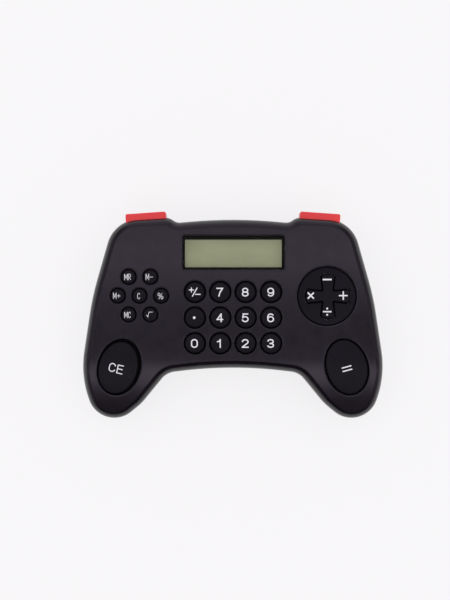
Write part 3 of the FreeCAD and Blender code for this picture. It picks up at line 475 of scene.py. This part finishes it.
# Strokes of each character, with x and y from -1 to 1 across the middle lines of its outermost strokes.
SIX = ring(0, -0.36, 1, 0.64) + [[(-1, -0.36)] + arc(0, 0.3, 1, 0.7, 180, 38)]
STROKES = {
    "0": [arc(0, -0.36, 1, 0.64, -90, 0) + arc(0, 0.36, 1, 0.64, 0, 90),
          arc(0, 0.36, 1, 0.64, 90, 180) + arc(0, -0.36, 1, 0.64, 180, 270)],
    "1": [[(0.75, -1), (0.75, 1)], [(0.6, 0.86), (0.1, 0.58), (-0.75, 0.46)]],
    "2": [arc(0, 0.42, 1, 0.58, 168, -32) + [(-0.92, -0.9)], [(-1, -1), (1, -1)]],
    "3": [arc(-0.04, 0.5, 0.94, 0.5, 162, -90), arc(-0.02, -0.5, 1.02, 0.5, 90, -162), [(-0.2, 0), (0, 0)]],
    "4": [[(0.48, 1), (0.48, -1)], [(-1, -0.45), (1, -0.45)], [(-0.86, -0.36), (0.36, 0.9)]],
    "5": [[(0.85, 1), (-0.72, 1)], [(-0.72, 0.9), (-0.86, 0.05)], arc(-0.02, -0.36, 1.02, 0.64, 142, -158)],
    "6": SIX,
    "7": [[(-1, 1), (1, 1)], [(0.88, 0.86), (0.1, 0.0), (-0.32, -1)]],
    "8": ring(0, 0.5, 0.88, 0.5) + ring(0, -0.48, 1, 0.52),
    "9": [[(-x, -y) for x, y in path] for path in SIX],
    "M": [[(-1, -1), (-1, 1)], [(1, -1), (1, 1)], [(-0.9, 0.9), (0, -0.5), (0.9, 0.9)]],
    "R": [[(-1, -1), (-1, 1)], [(-1, 1), (0.2, 1)] + arc(0.2, 0.5, 0.8, 0.5, 85, -85) + [(0.2, 0), (-1, 0)],
          [(0.15, 0), (0.95, -0.95)]],
    "C": [arc(0, 0.25, 1, 0.75, 22, 180) + arc(0, -0.25, 1, 0.75, 180, 338)],
    "E": [[(0.9, 1), (-1, 1)], [(-1, 1), (-1, -1)], [(-1, -1), (1, -1)], [(-1, 0.06), (0.75, 0.06)]],
    "-": [[(-1, 0), (1, 0)]],
    "+": [[(-1, 0), (1, 0)], [(0, -1), (0, 1)]],
    "/": [[(-1, -1), (1, 1)]],
    "%": ring(-0.6, 0.52, 0.4, 0.48) + ring(0.6, -0.52, 0.4, 0.48) + [[(-0.62, -0.95), (0.62, 0.95)]],
    "root": [[(-1, -0.35), (-0.78, -0.22), (-0.5, -0.92), (-0.12, 1)], [(-0.12, 1), (1, 1)]],
}


def legend(name, node, marks, weight, shift=(0.0, 0.0), turn=0.0, middle=None):
    """Prints characters on a node, about the node's own middle or another one.

    marks: (character, x, y, wide, high) in mm about the legend's middle, which shift moves.  turn: degrees.
    """
    hub = middle or centre(node)
    cos, sin = math.cos(math.radians(turn)), math.sin(math.radians(turn))
    outlines = []
    for character, x, y, wide, high in marks:
        reach_x, reach_y = max(0.0, wide - weight) / 2, max(0.0, high - weight) / 2
        for path in STROKES[character]:
            flat = ribbon([(x + u * reach_x, y + v * reach_y) for u, v in path], weight)
            outlines.append([(shift[0] + u * cos - v * sin, shift[1] + u * sin + v * cos) for u, v in flat])
    print_on("legend_" + name, node, hub, outlines)


def disc(x, y, radius):
    """A round dot, as a polygon of many sides."""
    turns = [2 * math.pi * i / DISC_SIDES for i in range(DISC_SIDES)]
    return [(x + radius * math.cos(a), y + radius * math.sin(a)) for a in turns]


# Sizes in mm: (character, x, y, wide, high), then the strokes' weight and the legend's shift on its key.
DIGITS = ("zero", "one", "two", "three", "four", "five", "six", "seven", "eight", "nine")
DIGIT_WEIGHT, DIGIT_HIGH = 0.52, 3.8
for digit, word in enumerate(DIGITS):
    wide, shift = (2.05, (-0.6, -0.05)) if word == "one" else (2.95, (-0.2, -0.05))
    legend(word, "key_" + word, [(str(digit), 0, 0, wide, DIGIT_HIGH)], DIGIT_WEIGHT, shift)
legend("sign", "key_sign", [
    ("+", -1.5, 0.95, 2.2, 2.1), ("/", -0.05, 0, 2.4, 3.9), ("-", 1.3, -0.95, 2.3, 0.56),
], 0.42, (0.0, -0.05))
print_on("legend_point", "key_point", centre("key_point"), [disc(-0.3, 0.0, 0.57)])

MEMORY_WEIGHT = 0.21
MEMORY = {
    "memory_recall": ([("M", -0.68, 0, 1.45, 2.7), ("R", 0.82, 0, 1.15, 2.7)], (-0.45, -0.07)),
    "memory_minus": ([("M", -0.8, 0, 1.45, 2.7), ("-", 0.85, -0.05, 1.4, 0.3)], (-0.41, -0.05)),
    "memory_plus": ([("M", -0.85, 0, 1.45, 2.7), ("+", 0.85, -0.05, 1.5, 1.6)], (-0.43, -0.03)),
    "clear": ([("C", 0, 0, 1.15, 2.7)], (-0.32, -0.15)),
    "percent": ([("%", 0, 0, 2.4, 2.7)], (-0.26, -0.14)),
    "memory_clear": ([("M", -0.68, 0, 1.45, 2.7), ("C", 0.82, 0, 1.15, 2.7)], (-0.44, -0.14)),
    "square_root": ([("root", 0, 0, 2.8, 2.4)], (-0.35, -0.01)),
}
for word, (marks, shift) in MEMORY.items():
    legend(word, "key_" + word, marks, MEMORY_WEIGHT, shift)

CLEAR_ENTRY = [("C", -1.75, 0.05, 2.95, 3.9), ("E", 1.75, -0.05, 2.75, 3.9)]
legend("clear_entry", "key_clear_entry", CLEAR_ENTRY, 0.42, (-1.35, -0.65), -13)
EQUALS = [("-", 0, side * 0.76, 4.3, 0.52) for side in (1, -1)]
legend("equals", "key_equals", EQUALS, 0.52, (0.05, -0.65), 15)

# The four signs stand ARM mm from a point that is just beside the middle of the pad's plate.
hub = centre("dpad_plate") + Vector((0.05, 0.3, 0.0)) * MM
ARM = 6.95
legend("minus", "dpad_cross", [("-", 0, ARM, 3.9, 0.66)], 0.66, middle=hub)
legend("plus", "dpad_cross", [("+", ARM, 0, 3.75, 3.7)], 0.56, middle=hub)
legend("times", "dpad_cross", [("+", 0, 0, 3.7, 3.7)], 0.6, (-ARM - 0.15, 0), 45, hub)
legend("divide", "dpad_cross", [("-", 0, -ARM, 3.7, 0.56)], 0.56, middle=hub)
print_on("legend_divide_dots", "dpad_cross", hub, [disc(0.0, side * 1.35 - ARM, 0.42) for side in (-1, 1)])


def border(inside, outside):
    """Four ribbons that fill the band between two rectangles, which are given by half their sizes."""
    (x, y), (far_x, far_y) = inside, outside
    middle_x, middle_y = (x + far_x) / 2, (y + far_y) / 2
    level = [ribbon([(-x, side * middle_y), (x, side * middle_y)], far_y - y) for side in (-1, 1)]
    upright = [ribbon([(side * middle_x, -y), (side * middle_x, y)], far_x - x) for side in (-1, 1)]
    return level + upright


# the display's black border, round the eight-digit field
FIELD = (21.05, 6.0)
BORDER = (22.9, 8.4)
print_on("display_border", "lcd_glass", centre("lcd_glass"), border(FIELD, BORDER), BLACK_INK)


# ------------------------------------------------------------------ floor, light and camera

def sheet_of_paper(half):
    """A square of pale paper on the table, with its own even light."""
    mesh = bmesh.new()
    bmesh.ops.create_grid(mesh, x_segments=1, y_segments=1, size=half)
    data = bpy.data.meshes.new("floor")
    mesh.to_mesh(data)
    mesh.free()
    glow = {"Emission_Color": (1.0, 0.985, 1.0, 1.0), "Emission_Strength": 0.785}
    paper = Look("paper", (0.16, 0.16, 0.16), 0.8, **glow)
    paper.bump(paper.noise(0.6 * MM), 0.01 * MM)
    data.materials.append(paper.material)
    sheet = bpy.data.objects.new("floor", data)
    bpy.context.scene.collection.objects.link(sheet)
    return sheet


floor = sheet_of_paper(3.0)

# The room that shiny surfaces show: (place, light) by a coordinate of the direction looked in, from -1 to 1.
# Along the table it is dark to the south, bright each side of a dark spot overhead, and grey to the north.
ALONG_TABLE = [
    (-1, 0.1), (-0.92, 0.05), (-0.62, 0.08), (-0.5, 0.1), (-0.38, 0.18), (-0.3, 0.2), (-0.24, 0.4),
    (-0.18, 1.25), (-0.12, 1.45), (-0.075, 0.9), (-0.045, 0.1), (-0.005, 0.05), (0.03, 1.6), (0.06, 1.05),
    (0.09, 0.3), (0.2, 0.5), (0.7, 0.52), (1, 0.75),
]
ACROSS_TABLE = [(-1, 0.8), (-0.6, 0.9), (-0.35, 2.0), (0.35, 2.0), (0.6, 0.9), (1, 0.8)]
SIDE_WALLS = [(-1, 0.38), (-0.85, 0.38), (-0.55, 0.0), (0.55, 0.0), (0.85, 0.38), (1, 0.38)]
ROOM_STRENGTH = 2.0
WHITE = (1.0, 1.0, 1.0)
LILAC = (1.0, 0.86, 1.08)

# The even light on everything else.
FILL_COLOR = (0.995, 0.985, 1.0, 1.0)
FILL_STRENGTH = 0.95


def direction_ramp(tree, coordinate, stops, tint):
    """Light by one coordinate of a direction, as a part of the room's strength, so that it stays under 1."""
    lean = tree.nodes.new("ShaderNodeMapRange")
    lean.inputs["From Min"].default_value = -1.0
    ramp = tree.nodes.new("ShaderNodeValToRGB")
    tree.links.new(coordinate, lean.inputs["Value"])
    tree.links.new(lean.outputs["Result"], ramp.inputs["Fac"])
    elements = ramp.color_ramp.elements
    while len(elements) < len(stops):
        elements.new(0.5)
    for element, (place, light) in zip(elements, stops):
        element.position = (place + 1) / 2
        element.color = (*[light / ROOM_STRENGTH * part for part in tint], 1)
    return ramp.outputs["Color"]


def blended(tree, blend, first, second):
    mix = tree.nodes.new("ShaderNodeMix")
    mix.data_type = "RGBA"
    mix.blend_type = blend
    mix.inputs[0].default_value = 1.0
    tree.links.new(first, mix.inputs[6])
    tree.links.new(second, mix.inputs[7])
    return mix.outputs[2]


def studio_world():
    """A soft studio: the room for shiny surfaces, and the even light for the camera and dull surfaces."""
    world = bpy.data.worlds.new("studio")
    bpy.context.scene.world = world
    world.use_nodes = True
    tree = world.node_tree
    place = tree.nodes.new("ShaderNodeTexCoord")
    parts = tree.nodes.new("ShaderNodeSeparateXYZ")
    tree.links.new(place.outputs["Generated"], parts.inputs["Vector"])
    x, y = parts.outputs["X"], parts.outputs["Y"]
    light = direction_ramp(tree, y, ALONG_TABLE, LILAC)
    light = blended(tree, "MULTIPLY", light, direction_ramp(tree, x, ACROSS_TABLE, WHITE))
    light = blended(tree, "LIGHTEN", light, direction_ramp(tree, x, SIDE_WALLS, LILAC))
    room = tree.nodes["Background"]
    room.inputs["Strength"].default_value = ROOM_STRENGTH
    tree.links.new(light, room.inputs["Color"])
    even = tree.nodes.new("ShaderNodeBackground")
    even.inputs["Color"].default_value = FILL_COLOR
    even.inputs["Strength"].default_value = FILL_STRENGTH
    ray = tree.nodes.new("ShaderNodeLightPath")
    choice = tree.nodes.new("ShaderNodeMixShader")
    tree.links.new(ray.outputs["Is Glossy Ray"], choice.inputs[0])
    tree.links.new(even.outputs[0], choice.inputs[1])
    tree.links.new(room.outputs[0], choice.inputs[2])
    tree.links.new(choice.outputs[0], tree.nodes["World Output"].inputs["Surface"])


def camera_above(place, lens):
    """A camera that looks straight down, with its top towards +Y."""
    data = bpy.data.cameras.new("camera")
    data.sensor_width = 36.0
    data.lens = lens
    camera = bpy.data.objects.new("camera", data)
    camera.location = place
    bpy.context.scene.collection.objects.link(camera)
    bpy.context.scene.camera = camera


studio_world()
bpy.context.scene.view_settings.view_transform = "Standard"
camera_above((-0.00345, 0.00675, 0.5408), lens=71.9)
